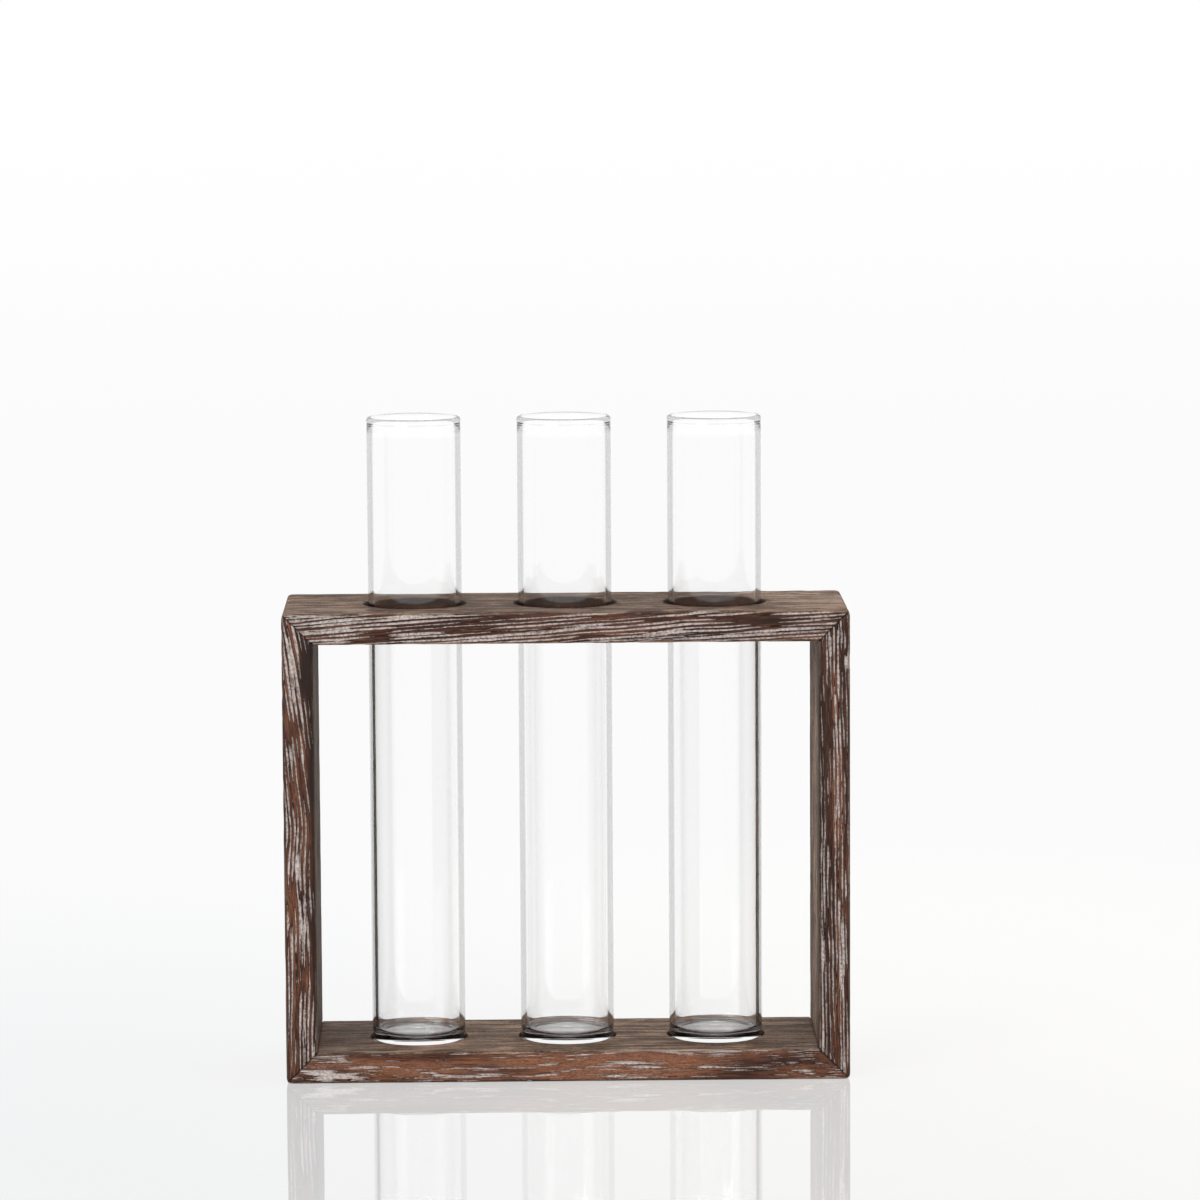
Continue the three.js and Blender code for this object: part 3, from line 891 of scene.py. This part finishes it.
# Painted shade in part: the grey at the edges and on the lip also stands in for darker surroundings.
grazing = bench.step(facing + lip * 0.22, 0.49, 0.57) * outside
tint = bench.mix(grazing, no_tint, edge_grey)
bump = bench.node("ShaderNodeBump", {}, {"Strength": 0.05, "Distance": 0.0002, "Height": waves})
clear = bench.node("ShaderNodeBsdfPrincipled", {}, {
    "Base Color": tint, "Roughness": 0.0, "IOR": 1.5, "Transmission Weight": 1.0, "Normal": bump})
through = bench.node("ShaderNodeBsdfTransparent", {}, {"Color": shadow_tint})
shadow = bench.node("ShaderNodeLightPath", out="Is Shadow Ray")
surface = bench.node("ShaderNodeMixShader", {}, {0: shadow, 1: clear, 2: through})
bench.node("ShaderNodeOutputMaterial", {}, {"Surface": surface})
for tube in tubes:
    tube.data.materials.append(glass)
print("glass nodes:", len(glass.node_tree.nodes))

# %% [markdown]
# ## Table, backdrop and lamps
# The vase stands on a glossy white sheet that fades into a white backdrop. Strong lamps could burn a grey
# floor out to white, but they would bleach the wood too. So the camera, and any reflection or refraction,
# sees the sheet and the backdrop white by themselves: the sheet glows with painted light, a little brighter
# on the right than on the left. The light that the world gives is softer, and big lamps at the upper left,
# above and at the right do the rest.

# %% The table's disc
def table_top(radius=1600.0, rings=60, sides=180, gap=0.02):
    """A disc: rings whose radius grows with the square of their number, turned about the axis.

    It lies a hair's breadth under the vase, so that no two faces share a plane.
    """
    r = radius * np.linspace(0, 1, rings) ** 2
    return turned(np.stack([r, 0 * r], axis=-1), (0, 0, -gap), sides)


top_points, top_faces = table_top()
table = lay_mesh("table_top", top_points, top_faces[:, ::-1])


# %% The table's white sheet
def shown_rays(bench):
    """1 for what the camera sees, directly, in a reflection or through glass; 0 for light that bounces."""
    names = ["Is Camera Ray", "Is Glossy Ray", "Is Transmission Ray"]
    camera_ray, glossy, through = [bench.node("ShaderNodeLightPath", out=name) for name in names]
    either = bench.node("ShaderNodeMath", {"operation": "MAXIMUM"}, {0: camera_ray, 1: glossy})
    return bench.node("ShaderNodeMath", {"operation": "MAXIMUM"}, {0: either, 1: through})


# Painted light: the sheet glows by itself, brighter towards the right, where more light falls.
left_glow, right_glow = paint(183, 184, 186), paint(197, 196, 193)
gloss_grey, plain_white = paint(108, 108, 108), paint(228, 228, 228)
sheet, bench = new_material("white_gloss_sheet")
where = bench.node("ShaderNodeTexCoord", out="Object")
distance = bench.node("ShaderNodeVectorMath", {"operation": "LENGTH"}, {0: where}, out="Value")
across = bench.node("ShaderNodeSeparateXYZ", {}, {0: where}, out=0)
fade = bench.step(distance, 0.16, 0.52)
glow = bench.mix(bench.step(across, -0.3, 0.3), left_glow, right_glow)
gloss = bench.node("ShaderNodeBsdfPrincipled", {}, {
    "Base Color": gloss_grey, "Roughness": 0.015, "IOR": 1.42, "Emission Color": glow,
    "Emission Strength": 1.0})
plain = bench.node("ShaderNodeBsdfDiffuse", {}, {"Color": plain_white})
clear = bench.node("ShaderNodeBsdfTransparent")
surface = bench.node("ShaderNodeMixShader", {}, {0: shown_rays(bench), 1: plain, 2: gloss})
surface = bench.node("ShaderNodeMixShader", {}, {0: fade, 1: surface, 2: clear})
bench.node("ShaderNodeOutputMaterial", {}, {"Surface": surface})
table.data.materials.append(sheet)
print("sheet nodes:", len(sheet.node_tree.nodes))

# %% The world
soft_light, low_white, lift = 0.60, 0.964, 0.036
world = bpy.data.worlds.new("white_studio")
bpy.context.scene.world = world
world.use_nodes = True
bench = Bench(world.node_tree)
shown = shown_rays(bench)
rise = bench.node("ShaderNodeSeparateXYZ", {}, {0: bench.node("ShaderNodeTexCoord")}, out="Z")
white = low_white + lift * bench.step(rise, -0.10, -0.03)
strength = soft_light * (1 - shown) + white * shown
backdrop = bench.node("ShaderNodeBackground", {}, {"Color": (1.0, 1.0, 1.0, 1.0), "Strength": strength})
bench.node("ShaderNodeOutputWorld", {}, {"Surface": backdrop})
print("world nodes:", len(world.node_tree.nodes))


# %% The lamps
def soft_lamp(name, place, target, size, share):
    """A square lamp. It gives a white surface that faces it this share of full brightness."""
    data = bpy.data.lights.new(name, "AREA")
    data.shape, data.size = "SQUARE", size
    place, target = Vector(place), Vector(target)
    data.energy = share * math.pi ** 2 * (target - place).length_squared
    lamp = bpy.data.objects.new(name, data)
    lamp.location = place
    lamp.rotation_euler = (target - place).to_track_quat("-Z", "Y").to_euler()
    lamp.visible_camera = False
    bpy.context.scene.collection.objects.link(lamp)
    print(name, round(data.energy, 2), "W")


middle = (0, 0, 0.08)
soft_lamp("lamp_upper_left", (-0.9, -1.25, 0.85), middle, size=0.9, share=0.42)
soft_lamp("lamp_above", (0.15, 0.1, 1.5), middle, size=1.1, share=0.15)
soft_lamp("lamp_right", (1.2, -0.9, 0.6), middle, size=0.8, share=0.12)

# %% [markdown]
# ## Camera
# A long lens stands almost level with the vase and a little above it. Its place and turn could be tried by
# eye, but they were worked out from where the frame's corners and the tubes' edges fall in the picture,
# because that fixes all seven numbers at once.

# %% Place the camera
focal_pixels, picture_pixels, sensor_mm = 5748.6, 1200, 36
camera_place = (-0.01914, -1.83036, 0.37218)
yaw, pitch, roll = math.radians(0.953), math.radians(6.873), math.radians(-0.327)
ahead = Vector((math.sin(yaw) * math.cos(pitch), math.cos(yaw) * math.cos(pitch), -math.sin(pitch)))
level = Vector((math.cos(yaw), -math.sin(yaw), 0))
upward = level.cross(ahead)
right = math.cos(roll) * level + math.sin(roll) * upward
upward = -math.sin(roll) * level + math.cos(roll) * upward
lens = bpy.data.cameras.new("camera")
lens.sensor_fit, lens.sensor_width = "HORIZONTAL", sensor_mm
lens.lens = focal_pixels / picture_pixels * sensor_mm
lens.clip_start, lens.clip_end = 0.05, 50
camera = bpy.data.objects.new("camera", lens)
turn = Matrix((right, upward, -ahead)).transposed().to_4x4()
camera.matrix_world = Matrix.Translation(camera_place) @ turn
bpy.context.scene.collection.objects.link(camera)
bpy.context.scene.camera = camera
bpy.context.scene.view_settings.view_transform = "Standard"
print("lens", round(lens.lens, 1), "mm")

# %% [markdown]
# ## Finish
# The view layer is brought up to date at the end.

# %% Finish
bpy.context.view_layer.update()
